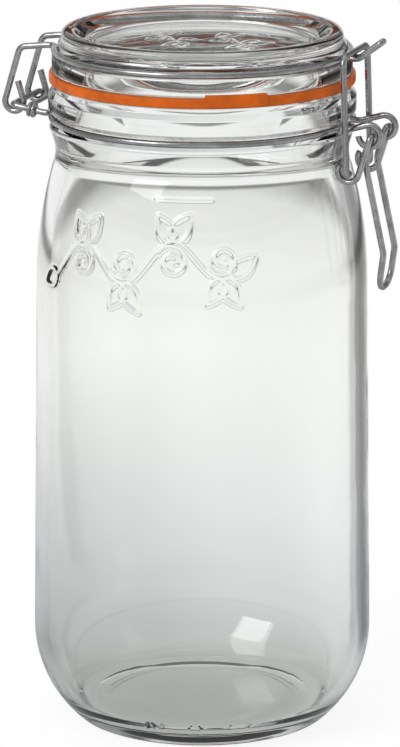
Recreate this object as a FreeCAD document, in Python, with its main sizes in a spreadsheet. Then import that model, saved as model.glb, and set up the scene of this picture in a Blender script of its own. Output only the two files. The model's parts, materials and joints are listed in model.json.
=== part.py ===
"""Clip-top preserving jar: glass jar, glass lid, rubber seal and the bent-wire clip.

Frame: millimetres, +Z up, origin on the jar's axis in the plane it stands on.
The clip's hinge is on the -X side and its latch on the +X side.
"""
import FreeCAD, Part
import math
import os

import Sketcher

os.makedirs("parts", exist_ok=True)
doc = FreeCAD.newDocument("ClipTopJar")
Vector = FreeCAD.Vector

# ---------------------------------------------------------------- driving sizes

SIZES = [
    # jar: body
    ("body_height", 190.5, "standing plane to the waist under the neck"),
    ("body_foot_radius", 55.8, "outside radius where the wall meets the heel"),
    ("body_shoulder_radius", 54.3, "outside radius where the wall meets the shoulder"),
    ("shoulder_rise", 43.5, "height of the shoulder's curve"),
    ("wall", 4.0, "glass thickness of the wall"),
    ("floor_glass", 5.0, "glass thickness of the floor, over the push-up"),
    ("heel_arc", 40.2, "large radius of the heel"),
    ("foot_arc", 5.2, "small radius between the heel and the standing ring"),
    ("foot_radius", 39.1, "outside radius of the flat standing ring"),
    ("foot_land", 3.0, "width of the standing ring"),
    ("push_up", 1.6, "height of the hollow inside the standing ring"),
    ("push_up_slope", 5.0, "width of the slope into that hollow"),
    ("inner_heel_arc", 9.0, "inside radius between the wall and the floor"),
    # jar: neck
    ("neck_radius", 50.1, "outside radius of the collar and the bead"),
    ("waist_depth", 2.7, "how far the waist lies inside the collar"),
    ("waist_land", 1.6, "height of the plain waist"),
    ("bead_slope", 4.0, "height of the slope from the waist to the bead"),
    ("bead_land", 3.4, "height of the bead, up to the wire groove"),
    ("groove_depth", 2.3, "depth of the wire groove inside the collar"),
    ("groove_slope", 1.4, "height of each sloping side of the groove"),
    ("collar_land", 5.1, "height of the collar, from the wire groove up"),
    ("collar_step", 1.8, "how far the mouth lies inside the collar"),
    ("collar_slope", 1.8, "height of the slope from the collar to the mouth"),
    ("mouth_rise", 1.9, "height of the mouth's own edge"),
    ("mouth_land", 6.8, "width of the flat ring that carries the seal"),
    ("glass_round", 0.8, "edge rounding on the pressed glass"),
    # seal
    ("seal_thickness", 3.3, "thickness of the rubber ring"),
    ("seal_width", 7.4, "width of the rubber ring"),
    ("seal_overhang", 1.5, "how far the ring stands out past the mouth's edge"),
    ("seal_round", 0.7, "edge rounding on the rubber"),
    ("seal_seat_gap", 0.2, "clearance between the ring and the mouth"),
    ("tab_angle", 23.0, "arc of the pull tab, in degrees"),
    ("tab_start", -70.0, "where the pull tab starts round the jar, in degrees"),
    ("tab_lift", 1.2, "how far the pull tab rises above the ring"),
    ("tab_bulge", 0.8, "how far the pull tab stands out past the ring"),
    # lid
    ("lid_flange_inset", 1.0, "how far the lid's flange lies inside the seal's edge"),
    ("lid_flange_height", 5.9, "height of the flange, up to the wire ledge"),
    ("lid_ledge", 2.0, "width of the ledge that the wire sits on"),
    ("lid_skirt", 3.2, "height of the skirt over the ledge"),
    ("lid_rim_slope", 2.2, "height of the slope from the skirt to the rim"),
    ("lid_rim_inset", 1.1, "how far the rim lies inside the skirt"),
    ("lid_rim_height", 2.5, "height of the rim over that slope"),
    ("lid_rim_width", 4.0, "width of the rim's crown"),
    ("lid_rim_round", 1.7, "edge rounding of the rim"),
    ("lid_dish_slope", 3.6, "width of the slope down to the panel"),
    ("lid_dish_depth", 4.0, "depth of the panel below the rim"),
    ("lid_glass", 5.0, "glass thickness of the panel"),
    ("panel_ring_inset", 2.6, "centre of the panel's raised ring, inside the slope"),
    ("panel_ring_half", 1.0, "half the width of the panel's raised ring"),
    ("panel_ring_height", 0.5, "height of the panel's raised ring"),
    ("spigot_depth", 1.6, "how far the lid reaches down inside the seal"),
    ("spigot_width", 3.4, "width of that reach"),
    ("spigot_gap", 0.5, "clearance between that reach and the seal"),
    # wire
    ("wire", 2.1, "diameter of the clip's wire"),
    ("tie_wire", 1.4, "diameter of the hinge's tie wire"),
    ("wire_gap", 0.2, "clearance between neighbouring wires"),
    ("groove_gap", 0.12, "clearance between a wire and the glass"),
    ("turn_out", 2.6, "bend radius where a ring turns out into its arms"),
    # hinge
    ("hinge_reach", 12.4, "hinge pin outside the neck ring's centre line"),
    ("hinge_lift", 1.9, "hinge pin above the neck ring"),
    ("hinge_half", 12.6, "half the distance between the bracket's arms"),
    ("bracket_bend", 2.0, "bend radius of the bracket's corners"),
    ("hook_radius", 3.2, "radius of the hooks on the hinge pin"),
    ("hook_slack", 0.4, "clearance under the hinge pin in its hooks"),
    ("hook_tail", 6.2, "length of the hooks' free ends"),
    ("leg_reach", 2.1, "top corner of the hinge legs inside the hinge pin"),
    ("leg_drop", 1.1, "top corner of the hinge legs below the lid ring"),
    ("leg_bend", 3.0, "bend radius of that corner"),
    ("tie_reach", 5.3, "tie bar outside the neck ring's centre line"),
    # latch
    ("tongue_flat", 5.3, "level length of the tongue outside the lid ring"),
    ("tongue_reach", 13.1, "tongue's tip outside the lid ring's centre line"),
    ("tongue_lift", 5.9, "tongue's tip above the lid ring"),
    ("tongue_bend", 3.0, "bend radius of the tongue"),
    ("link_reach", 3.85, "link's crossbar outside the lid ring's centre line"),
    ("link_drop", 38.08, "link's crossbar down to its pins"),
    ("link_bend", 3.0, "bend radius of the link's top corners"),
    ("pin_bend", 1.3, "bend radius at the link's pins"),
    ("lever_reach", 11.4, "lever's pivot outside the neck ring's centre line"),
    ("lever_drop", 1.4, "lever's pivot below the neck ring"),
    ("lever_half", 6.2, "half the distance between the handle's legs"),
    ("pivot_bend", 1.4, "bend radius at the lever's pivot"),
    ("eye_radius", 3.6, "radius of the eyes on the neck ring"),
    ("eye_turn", 280.0, "how far each eye is wound, in degrees"),
    ("eye_slack", 1.0, "how far each eye's centre lies inside the pivot"),
    ("curl_radius", 3.5, "radius of the lever's curls"),
    ("curl_slack", 0.5, "clearance under the link's pins in their curls"),
    ("curl_gap", 5.08, "centre of the lever's curls outside the shoulder"),
    ("curl_tail", 35.0, "how far each curl rises past level, in degrees"),
    ("handle_knee_drop", 10.0, "handle's upper knee below the pivot"),
    ("handle_knee_inset", 2.9, "handle's upper knee inside the pivot"),
    ("handle_bow_drop", 39.0, "handle's lower knee below the pivot"),
    ("handle_bow_gap", 10.19, "handle's lower knee outside the shoulder"),
    ("handle_length", 50.9, "handle's end below the pivot"),
    ("handle_tip_gap", 7.9, "handle's end outside the shoulder"),
    ("handle_bend", 7.0, "bend radius of the handle's knees"),
    ("handle_round", 5.4, "bend radius of the handle's end"),
]

sheet = doc.addObject("Spreadsheet::Sheet", "Sizes")
for row, (alias, size, meaning) in enumerate(SIZES, start=1):
    sheet.set("A%d" % row, alias)
    sheet.set("B%d" % row, str(size))
    sheet.setAlias("B%d" % row, alias)
    sheet.set("C%d" % row, meaning)
doc.recompute()


def size(expression):
    """The number that an expression on the sheet comes to."""
    return float(sheet.evalExpression(expression))


def named(text):
    """Turns @name in an expression into the sheet's cell of that name."""
    return "(" + text.replace("@", "Sizes.") + ")"


# ------------------------------------------------------- heights and radii in common

SHOULDER_Z = named("@body_height - @shoulder_rise")
WAIST_R = named("@neck_radius - @waist_depth")
SHOULDER_INSET = named("@body_shoulder_radius - %s" % WAIST_R)
SHOULDER_ARC = named("(@shoulder_rise^2 + %s^2) / (2 * %s)" % (SHOULDER_INSET, SHOULDER_INSET))
SHOULDER_X = named("@body_shoulder_radius - %s" % SHOULDER_ARC)
WAIST_TOP_Z = named("@body_height + @waist_land")
BEAD_Z = named("%s + @bead_slope" % WAIST_TOP_Z)
GROOVE_R = named("@neck_radius - @groove_depth")
SEAT = named("@wire / 2 + @groove_gap")
RING_Z = named("%s + @bead_land + @groove_slope + %s" % (BEAD_Z, SEAT))
RING_R = named("%s + %s" % (GROOVE_R, SEAT))
COLLAR_TOP_Z = named("%s + %s + @groove_slope + @collar_land" % (RING_Z, SEAT))
MOUTH_Z = named("%s + @collar_slope + @mouth_rise" % COLLAR_TOP_Z)
MOUTH_R = named("@neck_radius - @collar_step")
BORE_R = named("%s - @mouth_land" % MOUTH_R)

SEAL_Z = named("%s + @seal_seat_gap" % MOUTH_Z)
SEAL_TOP_Z = named("%s + @seal_thickness" % SEAL_Z)
SEAL_R = named("%s + @seal_overhang" % MOUTH_R)
SEAL_BORE_R = named("%s - @seal_width" % SEAL_R)

FLANGE_R = named("%s - @lid_flange_inset" % SEAL_R)
LEDGE_Z = named("%s + @lid_flange_height" % SEAL_TOP_Z)
SKIRT_R = named("%s - @lid_ledge" % FLANGE_R)
LID_RING_R = named("%s + %s" % (SKIRT_R, SEAT))
LID_RING_Z = named("%s + %s" % (LEDGE_Z, SEAT))
RIM_Z = named("%s + @lid_skirt + @lid_rim_slope" % LEDGE_Z)
RIM_R = named("%s - @lid_rim_inset" % SKIRT_R)
LID_TOP_Z = named("%s + @lid_rim_height" % RIM_Z)
DISH_R = named("%s - @lid_rim_width" % RIM_R)
PANEL_R = named("%s - @lid_dish_slope" % DISH_R)
PANEL_Z = named("%s - @lid_dish_depth" % LID_TOP_Z)
SPIGOT_R = named("%s - @spigot_gap" % SEAL_BORE_R)

# ---------------------------------------------------------------- turned pieces


def origin_feature(body, role):
    """The origin plane or axis of a body that has the given role."""
    return [part for part in body.Origin.OriginFeatures if part.Role == role][0]


def arc_between(start, end, radius):
    """An arc from start to end; a positive radius turns left, a negative one right."""
    chord = end - start
    left = Vector(-chord.y, chord.x, 0) / chord.Length
    rise = math.sqrt(radius * radius - chord.Length ** 2 / 4)
    centre = (start + end) / 2 + left * math.copysign(rise, radius)
    first, last = (start, end) if radius > 0 else (end, start)
    angles = [math.atan2(p.y - centre.y, p.x - centre.x) for p in (first, last)]
    return Part.ArcOfCircle(Part.Circle(centre, Vector(0, 0, 1), abs(radius)), *angles)


def draw_outline(sketch, outline):
    """A closed outline of (radius, height, bend) corners, bound to the sheet.

    bend is the expression of the arc's radius from this corner to the next, or None
    for a straight line; a leading minus sign makes the arc turn right.
    """
    corners = [Vector(size(radius), size(height), 0) for radius, height, _ in outline]
    starts, ends = [], []
    for index, (_, _, bend) in enumerate(outline):
        here, there = corners[index], corners[(index + 1) % len(corners)]
        if bend is None:
            geometry = sketch.addGeometry(Part.LineSegment(here, there), False)
        else:
            geometry = sketch.addGeometry(arc_between(here, there, size(bend)), False)
        turns_right = bend is not None and size(bend) < 0
        starts.append((geometry, 2 if turns_right else 1))
        ends.append((geometry, 1 if turns_right else 2))
    for index in range(len(outline)):
        following = (index + 1) % len(outline)
        sketch.addConstraint(Sketcher.Constraint("Coincident", *ends[index], *starts[following]))
    for start, (radius, height, bend) in zip(starts, outline):
        for kind, axis, expression in (("DistanceX", -2, radius), ("DistanceY", -1, height)):
            if expression == "0":
                sketch.addConstraint(Sketcher.Constraint("PointOnObject", *start, axis))
            else:
                rule = Sketcher.Constraint(kind, -1, 1, *start, size(expression))
                sketch.setExpression("Constraints[%d]" % sketch.addConstraint(rule), expression)
        if bend is not None:
            rule = Sketcher.Constraint("Radius", start[0], abs(size(bend)))
            sketch.setExpression("Constraints[%d]" % sketch.addConstraint(rule), bend.lstrip("-"))


def turn(body, name, outline, angle="360", start="0"):
    """Turns an outline about the jar's axis and adds it to the body."""
    sketch = body.newObject("Sketcher::SketchObject", name + "_outline")
    sketch.AttachmentSupport = (origin_feature(body, "XZ_Plane"), [""])
    sketch.MapMode = "FlatFace"
    sketch.setExpression("AttachmentOffset.Rotation.Angle", start)
    sketch.setExpression("AttachmentOffset.Rotation.Axis.x", "0")
    sketch.setExpression("AttachmentOffset.Rotation.Axis.y", "1")
    sketch.setExpression("AttachmentOffset.Rotation.Axis.z", "0")
    draw_outline(sketch, outline)
    turned = body.newObject("PartDesign::Revolution", name)
    turned.Profile = sketch
    turned.ReferenceAxis = (sketch, ["V_Axis"])
    turned.setExpression("Angle", angle)
    doc.recompute()
    return turned


def round_rings(body, name, rings, radius):
    """Rounds the circular edges that lie at the given (radius, height) places."""
    base = body.Tip
    places = [(size(ring_radius), size(height)) for ring_radius, height in rings]
    edges = []
    for index, edge in enumerate(base.Shape.Edges, start=1):
        curve = edge.Curve
        if not isinstance(curve, Part.Circle) or abs(curve.Axis.z) < 0.99:
            continue
        for ring_radius, height in places:
            if abs(curve.Radius - ring_radius) < 1e-4 and abs(curve.Center.z - height) < 1e-4:
                edges.append("Edge%d" % index)
    if len(edges) != len(places):
        raise RuntimeError("%s: %d of %d edges found" % (name, len(edges), len(places)))
    rounded = body.newObject("PartDesign::Fillet", name)
    rounded.Base = (base, edges)
    rounded.setExpression("Radius", radius)
    doc.recompute()


def make_jar():
    """The glass jar: push-up foot, tall wall, sloping shoulder, beaded neck."""
    body = doc.addObject("PartDesign::Body", "jar_glass")
    body.Label = "jar_glass"
    # heel: a large arc tangent to the wall and a small one tangent to the standing plane
    heel_x = named("@body_foot_radius - @heel_arc")
    heel_z = named("@foot_arc + sqrt((@heel_arc - @foot_arc)^2 - (@foot_radius - %s)^2)" % heel_x)
    share = named("@heel_arc / (@heel_arc - @foot_arc)")
    joint_r = named("%s + (@foot_radius - %s) * %s" % (heel_x, heel_x, share))
    joint_z = named("%s + (@foot_arc - %s) * %s" % (heel_z, heel_z, share))
    # the same heel on the inside, over the floor
    floor_z = named("@push_up + @floor_glass")
    inner_arc = named("@heel_arc - @wall")
    inner_drop = named("%s - %s - @inner_heel_arc" % (heel_z, floor_z))
    inner_r = named("%s + sqrt((%s - @inner_heel_arc)^2 - %s^2)" % (heel_x, inner_arc, inner_drop))
    inner_share = named("%s / (%s - @inner_heel_arc)" % (inner_arc, inner_arc))
    inner_joint_r = named("%s + (%s - %s) * %s" % (heel_x, inner_r, heel_x, inner_share))
    inner_joint_z = named("%s - %s * %s" % (heel_z, inner_drop, inner_share))
    # shoulder: one arc, upright where it meets the wall
    inner_shoulder = named("%s - @wall" % SHOULDER_ARC)
    bore_end_z = named("%s + sqrt(%s^2 - (%s - %s)^2)"
                       % (SHOULDER_Z, inner_shoulder, BORE_R, SHOULDER_X))
    turn(body, "jar_turned", [
        ("0", named("@push_up"), None),
        (named("@foot_radius - @foot_land - @push_up_slope"), named("@push_up"), None),
        (named("@foot_radius - @foot_land"), "0", None),
        (named("@foot_radius"), "0", named("@foot_arc")),
        (joint_r, joint_z, named("@heel_arc")),
        (named("@body_foot_radius"), heel_z, None),
        (named("@body_shoulder_radius"), SHOULDER_Z, SHOULDER_ARC),
        (WAIST_R, named("@body_height"), None),
        (WAIST_R, WAIST_TOP_Z, None),
        (named("@neck_radius"), BEAD_Z, None),
        (named("@neck_radius"), named("%s + @bead_land" % BEAD_Z), None),
        (GROOVE_R, named("%s - %s" % (RING_Z, SEAT)), None),
        (GROOVE_R, named("%s + %s" % (RING_Z, SEAT)), None),
        (named("@neck_radius"), named("%s + %s + @groove_slope" % (RING_Z, SEAT)), None),
        (named("@neck_radius"), COLLAR_TOP_Z, None),
        (MOUTH_R, named("%s + @collar_slope" % COLLAR_TOP_Z), None),
        (MOUTH_R, MOUTH_Z, None),
        (BORE_R, MOUTH_Z, None),
        (BORE_R, bore_end_z, "-" + inner_shoulder),
        (named("@body_shoulder_radius - @wall"), SHOULDER_Z, None),
        (named("@body_foot_radius - @wall"), heel_z, "-" + inner_arc),
        (inner_joint_r, inner_joint_z, "-" + named("@inner_heel_arc")),
        (inner_r, floor_z, None),
        ("0", floor_z, None),
    ])
    round_rings(body, "jar_rounded", [
        (WAIST_R, WAIST_TOP_Z),
        (named("@neck_radius"), BEAD_Z),
        (named("@neck_radius"), named("%s + @bead_land" % BEAD_Z)),
        (named("@neck_radius"), named("%s + %s + @groove_slope" % (RING_Z, SEAT))),
        (named("@neck_radius"), COLLAR_TOP_Z),
        (MOUTH_R, MOUTH_Z),
        (BORE_R, MOUTH_Z),
    ], named("@glass_round"))
    return body


def make_lid():
    """The glass lid: dished panel, rounded rim, ledge for the wire, flange and spigot."""
    body = doc.addObject("PartDesign::Body", "glass_lid")
    body.Label = "glass_lid"
    hollow_z = named("%s - @lid_glass" % PANEL_Z)
    hollow_r = named("%s - @spigot_width" % SPIGOT_R)
    spigot_z = named("%s - @spigot_depth" % SEAL_TOP_Z)
    ring_r = named("%s - @panel_ring_inset" % PANEL_R)
    ring_arc = named("(@panel_ring_half^2 + @panel_ring_height^2) / (2 * @panel_ring_height)")
    turn(body, "lid_turned", [
        ("0", hollow_z, None),
        (hollow_r, hollow_z, None),
        (hollow_r, spigot_z, None),
        (SPIGOT_R, spigot_z, None),
        (SPIGOT_R, SEAL_TOP_Z, None),
        (FLANGE_R, SEAL_TOP_Z, None),
        (FLANGE_R, LEDGE_Z, None),
        (SKIRT_R, LEDGE_Z, None),
        (SKIRT_R, named("%s + @lid_skirt" % LEDGE_Z), None),
        (RIM_R, RIM_Z, None),
        (RIM_R, LID_TOP_Z, None),
        (DISH_R, LID_TOP_Z, None),
        (PANEL_R, PANEL_Z, None),
        (named("%s + @panel_ring_half" % ring_r), PANEL_Z, ring_arc),
        (named("%s - @panel_ring_half" % ring_r), PANEL_Z, None),
        ("0", PANEL_Z, None),
    ])
    round_rings(body, "lid_edges", [
        (hollow_r, hollow_z),
        (SPIGOT_R, spigot_z),
        (FLANGE_R, SEAL_TOP_Z),
        (FLANGE_R, LEDGE_Z),
        (SKIRT_R, named("%s + @lid_skirt" % LEDGE_Z)),
        (PANEL_R, PANEL_Z),
    ], named("@glass_round"))
    round_rings(body, "lid_crown", [
        (RIM_R, LID_TOP_Z),
        (DISH_R, LID_TOP_Z),
    ], named("@lid_rim_round"))
    return body


def make_seal():
    """The rubber ring between the mouth and the lid, with its pull tab."""
    body = doc.addObject("PartDesign::Body", "rubber_seal")
    body.Label = "rubber_seal"
    turn(body, "seal_turned", [
        (SEAL_BORE_R, SEAL_Z, None),
        (SEAL_R, SEAL_Z, None),
        (SEAL_R, SEAL_TOP_Z, None),
        (SEAL_BORE_R, SEAL_TOP_Z, None),
    ])
    round_rings(body, "seal_rounded", [
        (SEAL_R, SEAL_Z),
        (SEAL_R, SEAL_TOP_Z),
    ], named("@seal_round"))
    tab_r = named("%s + @wire_gap" % FLANGE_R)
    tab_out_r = named("%s + @tab_bulge" % SEAL_R)
    turn(body, "seal_tab", [
        (tab_r, named("%s + @seal_round" % SEAL_Z), None),
        (tab_out_r, named("%s + @seal_round" % SEAL_Z), None),
        (tab_out_r, named("%s + @tab_lift" % SEAL_TOP_Z), None),
        (tab_r, named("%s + @tab_lift" % SEAL_TOP_Z), None),
    ], named("@tab_angle"), named("@tab_start"))
    return body


# ---------------------------------------------------------------- bent wire


def straight(start, end):
    """A straight run, or nothing where the run has no length."""
    return [Part.LineSegment(start, end).toShape()] if start.distanceToPoint(end) > 1e-6 else []


def rounded_run(points, radii):
    """Straight runs through the points, with an arc of the given radius at each corner."""
    edges = []
    here = points[0]
    for before, corner, after, radius in zip(points, points[1:], points[2:], radii):
        back = (before - corner).normalize()
        ahead = (after - corner).normalize()
        half = back.getAngle(ahead) / 2
        reach = radius / math.tan(half)
        middle = corner + (back + ahead).normalize() * (radius / math.sin(half) - radius)
        bend_start, bend_end = corner + back * reach, corner + ahead * reach
        edges += straight(here, bend_start)
        edges.append(Part.Arc(bend_start, middle, bend_end).toShape())
        here = bend_end
    return edges + straight(here, points[-1])


def upright_arc(centre, radius, first, last):
    """An arc in an upright plane along X, between two angles in degrees, from +X up."""
    def place(angle):
        turned = math.radians(angle)
        return centre + Vector(math.cos(turned), 0, math.sin(turned)) * radius
    return Part.Arc(place(first), place((first + last) / 2), place(last)).toShape()


def tangent_angle(centre, radius, point, side):
    """The angle, from +X up, where a line from the point touches the upright circle.

    side is 1 where the touching place lies anticlockwise of the point's direction.
    """
    toward = point - centre
    spread = math.degrees(math.acos(radius / math.hypot(toward.x, toward.z)))
    return math.degrees(math.atan2(toward.z, toward.x)) + side * spread


def ring_turn(ring_radius, height, half, bend, side):
    """The level bend from a straight arm to the ring, on the -Y half of the ring.

    The arm lies at y = -half. side is 1 at the latch and -1 at the hinge. Gives the
    bend, its end on the arm and its end on the ring.
    """
    centre_y = -half - bend
    centre_x = side * math.sqrt((ring_radius + bend) ** 2 - centre_y ** 2)
    centre = Vector(centre_x, centre_y, height)
    on_arm = Vector(centre_x, -half, height)
    outward = Vector(centre_x, centre_y, 0).normalize()
    on_ring = outward * ring_radius + Vector(0, 0, height)
    between = ((on_arm - centre) + (on_ring - centre)).normalize() * bend
    return Part.Arc(on_arm, centre + between, on_ring).toShape(), on_arm, on_ring


def ring_half(ring_radius, height, first, last):
    """The -Y half of a ring between two places on it."""
    return Part.Arc(first, Vector(0, -ring_radius, height), last).toShape()


def sweep(edges, diameter):
    """A round wire along joined edges, in the order that they are given."""
    path = Part.Wire(Part.__sortEdges__(edges))
    first = edges[0]
    start = first.valueAt(first.FirstParameter)
    others = edges[1]
    if min(start.distanceToPoint(vertex.Point) for vertex in others.Vertexes) < 1e-6:
        start = first.valueAt(first.LastParameter)
        heading = first.tangentAt(first.LastParameter)
    else:
        heading = first.tangentAt(first.FirstParameter)
    section = Part.Wire(Part.Circle(start, heading, diameter / 2).toShape())
    wire = path.makePipeShell([section], True, False)
    expected = math.pi * diameter ** 2 / 4 * sum(edge.Length for edge in edges)
    if abs(wire.Volume - expected) > 0.01 * expected:
        raise RuntimeError("a wire's volume is %.2f, not %.2f" % (wire.Volume, expected))
    return wire


def bent_wire(name, edges, diameter):
    """A wire that is the same on both sides, from its -Y half that ends at y = 0."""
    half = sweep(edges, diameter)
    whole = half.fuse(half.mirror(Vector(0, 0, 0), Vector(0, 1, 0))).removeSplitter()
    feature = doc.addObject("Part::Feature", name)
    feature.Label = name
    feature.Shape = whole.Solids[0]
    feature.Placement = FreeCAD.Placement()
    return feature


def beside_jar(height, gap):
    """How far out a place lies at the given height and gap from the jar's side."""
    rise = min(max(height - size(SHOULDER_Z), 0), size("Sizes.shoulder_rise"))
    return size(SHOULDER_X) + math.sqrt((size(SHOULDER_ARC) + gap) ** 2 - rise ** 2)


WIRE = size("Sizes.wire")
PITCH = size("Sizes.wire + Sizes.wire_gap")
EYE_Y = size("Sizes.lever_half") + PITCH
CRANK_Y = EYE_Y + PITCH
LINK_Y = CRANK_Y + PITCH
HOOK_Y = size("Sizes.hinge_half") - PITCH
NECK_R, NECK_Z = size(RING_R), size(RING_Z)
LID_R, LID_Z = size(LID_RING_R), size(LID_RING_Z)
TURN_OUT = size("Sizes.turn_out")
HINGE = Vector(-NECK_R - size("Sizes.hinge_reach"), 0, NECK_Z + size("Sizes.hinge_lift"))
PIVOT = Vector(NECK_R + size("Sizes.lever_reach"), 0, NECK_Z - size("Sizes.lever_drop"))
CROSSBAR = Vector(LID_R + size("Sizes.link_reach"), 0, LID_Z + PITCH)
CURL_RISE = size("Sizes.curl_radius - Sizes.wire - Sizes.curl_slack")
CURL_Z = CROSSBAR.z - size("Sizes.link_drop") + CURL_RISE
CURL = Vector(beside_jar(CURL_Z, size("Sizes.curl_gap")), 0, CURL_Z)
PIN = CURL - Vector(0, 0, CURL_RISE)


def at(place, y):
    """A place in the clip's middle plane, moved to the given y."""
    return Vector(place.x, y, place.z)


def make_neck_ring():
    """The wire round the neck, with the hinge's bracket and the lever's two eyes."""
    radius = size("Sizes.eye_radius")
    eye = at(PIVOT - Vector(size("Sizes.eye_slack"), 0, 0), -EYE_Y)
    latch_bend, latch_arm, latch_ring = ring_turn(NECK_R, NECK_Z, EYE_Y, TURN_OUT, 1)
    knee = latch_arm + Vector(WIRE / 2, 0, 0)
    touch = tangent_angle(eye, radius, knee, -1)
    loop = upright_arc(eye, radius, touch - size("Sizes.eye_turn"), touch)
    on_eye = loop.valueAt(loop.LastParameter)
    arm = rounded_run([on_eye, knee, latch_arm], [WIRE])
    half = size("Sizes.hinge_half")
    hinge_bend, hinge_arm, hinge_ring = ring_turn(NECK_R, NECK_Z, half, TURN_OUT, -1)
    bracket = rounded_run(
        [hinge_arm, hinge_arm - Vector(WIRE / 2, 0, 0), at(HINGE, -half), HINGE],
        [WIRE, size("Sizes.bracket_bend")])
    ring = ring_half(NECK_R, NECK_Z, latch_ring, hinge_ring)
    return bent_wire("neck_ring", [loop] + arm + [latch_bend, ring, hinge_bend] + bracket, WIRE)


def make_lid_ring():
    """The wire round the lid, with the tongue at the latch and two hooked hinge legs."""
    strand = PITCH / 2
    tongue_bend, tongue_arm, tongue_ring = ring_turn(LID_R, LID_Z, strand, TURN_OUT, 1)
    knee = Vector(LID_R + size("Sizes.tongue_flat"), -strand, LID_Z)
    tip = Vector(LID_R + size("Sizes.tongue_reach"), 0, LID_Z + size("Sizes.tongue_lift"))
    tongue = rounded_run([tip, at(tip, -strand), knee, tongue_arm],
                         [strand, size("Sizes.tongue_bend")])
    hinge_bend, hinge_arm, hinge_ring = ring_turn(LID_R, LID_Z, HOOK_Y, TURN_OUT, -1)
    radius = size("Sizes.hook_radius")
    hook = at(HINGE + Vector(0, 0, radius - WIRE - size("Sizes.hook_slack")), -HOOK_Y)
    corner = Vector(HINGE.x + size("Sizes.leg_reach"), -HOOK_Y, LID_Z - size("Sizes.leg_drop"))
    touch = tangent_angle(hook, radius, corner, 1)
    tail_touch = 360 - tangent_angle(hook, radius, corner, 1) + 180
    curl = upright_arc(hook, radius, touch, tail_touch)
    on_hook = curl.valueAt(curl.FirstParameter)
    leg = rounded_run(
        [hinge_arm, hinge_arm - Vector(WIRE / 2, 0, 0), corner, on_hook],
        [WIRE, size("Sizes.leg_bend")])
    heading = math.radians(tail_touch + 90)
    end = curl.valueAt(curl.LastParameter)
    tail_end = end + Vector(math.cos(heading), 0, math.sin(heading)) * size("Sizes.hook_tail")
    ring = ring_half(LID_R, LID_Z, tongue_ring, hinge_ring)
    edges = tongue + [tongue_bend, ring, hinge_bend] + leg + [curl] + straight(end, tail_end)
    return bent_wire("lid_ring", edges, WIRE)


def make_link():
    """The wire frame that pulls the tongue down, with a pin at each foot."""
    pin_end = EYE_Y + PITCH / 2 + size("Sizes.wire_gap")
    edges = rounded_run(
        [CROSSBAR, at(CROSSBAR, -LINK_Y), at(PIN, -LINK_Y), at(PIN, -pin_end)],
        [size("Sizes.link_bend"), size("Sizes.pin_bend")])
    return bent_wire("link", edges, WIRE)


def make_lever():
    """The lever: a bowed handle, a pivot through each eye and an open curl below it."""
    handle_y = -size("Sizes.lever_half")
    tip_z = PIVOT.z - size("Sizes.handle_length")
    tip = Vector(beside_jar(tip_z, size("Sizes.handle_tip_gap")), 0, tip_z)
    bow_z = PIVOT.z - size("Sizes.handle_bow_drop")
    bow = Vector(beside_jar(bow_z, size("Sizes.handle_bow_gap")), 0, bow_z)
    knee = PIVOT - Vector(size("Sizes.handle_knee_inset"), 0, size("Sizes.handle_knee_drop"))
    radius = size("Sizes.curl_radius")
    curl_centre = at(CURL, -CRANK_Y)
    touch = tangent_angle(curl_centre, radius, at(PIVOT, -CRANK_Y), -1)
    curl = upright_arc(curl_centre, radius, -180 - size("Sizes.curl_tail"), touch)
    on_curl = curl.valueAt(curl.LastParameter)
    bend = size("Sizes.handle_bend")
    pivot_bend = size("Sizes.pivot_bend")
    edges = rounded_run(
        [tip, at(tip, handle_y), at(bow, handle_y), at(knee, handle_y), at(PIVOT, handle_y),
         at(PIVOT, -CRANK_Y), on_curl],
        [size("Sizes.handle_round"), bend, bend, pivot_bend, pivot_bend])
    return bent_wire("lever", edges + [curl], WIRE)


def make_tie():
    """The tie wire across the bracket: a bar, wound round the arm on the -Y side."""
    diameter = size("Sizes.tie_wire")
    half = size("Sizes.hinge_half")
    x = -NECK_R - size("Sizes.tie_reach")
    arm_start = ring_turn(NECK_R, NECK_Z, half, TURN_OUT, -1)[1].x - WIRE / 2
    z = NECK_Z + (HINGE.z - NECK_Z) * (x - arm_start) / (HINGE.x - arm_start)
    winding = WIRE / 2 + size("Sizes.groove_gap") + diameter / 2
    slope = Vector(HINGE.x - arm_start, 0, HINGE.z - NECK_Z).normalize()
    turns = []
    for y, offsets in ((-half, (-0.5, 0.5)), (half, (0.0,))):
        for offset in offsets:
            centre = Vector(x, y, z) + slope * (offset * 0.96 * diameter)
            turns.append(Part.makeTorus(winding, diameter / 2, centre, slope))
    rise = Vector(slope.z, 0, -slope.x) * winding
    start = Vector(x, -half, z) + rise
    bar = Part.makeCylinder(diameter / 2, 2 * half, start, Vector(0, 1, 0))
    feature = doc.addObject("Part::Feature", "hinge_tie")
    feature.Label = "hinge_tie"
    feature.Shape = bar.multiFuse(turns).Solids[0]
    feature.Placement = FreeCAD.Placement()
    return feature


# ---------------------------------------------------------------- build and write

pieces = [make_jar(), make_lid(), make_seal(), make_neck_ring(), make_lid_ring(), make_link(),
          make_lever(), make_tie()]
doc.recompute()

for item in doc.Objects:
    if "Invalid" in item.State or "Error" in item.State:
        raise RuntimeError("%s did not build: %s" % (item.Name, item.State))
for piece in pieces:
    if piece.Shape.isNull() or not piece.Shape.isValid() or len(piece.Shape.Solids) != 1:
        raise RuntimeError("%s is not one valid solid" % piece.Label)

for piece in pieces:
    piece.Shape.exportStep("parts/%s.step" % piece.Label)
    box = piece.Shape.BoundBox
    print("%-12s %9.1f mm3  x %.2f %.2f  y %.2f %.2f  z %.2f %.2f"
          % (piece.Label, piece.Shape.Volume, box.XMin, box.XMax, box.YMin, box.YMax,
             box.ZMin, box.ZMax))
for label, place in (("hinge", HINGE), ("pivot", PIVOT), ("crossbar", CROSSBAR), ("pin", PIN),
                     ("curl", CURL)):
    print("%-12s x %.3f z %.3f" % (label, place.x, place.z))
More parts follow.
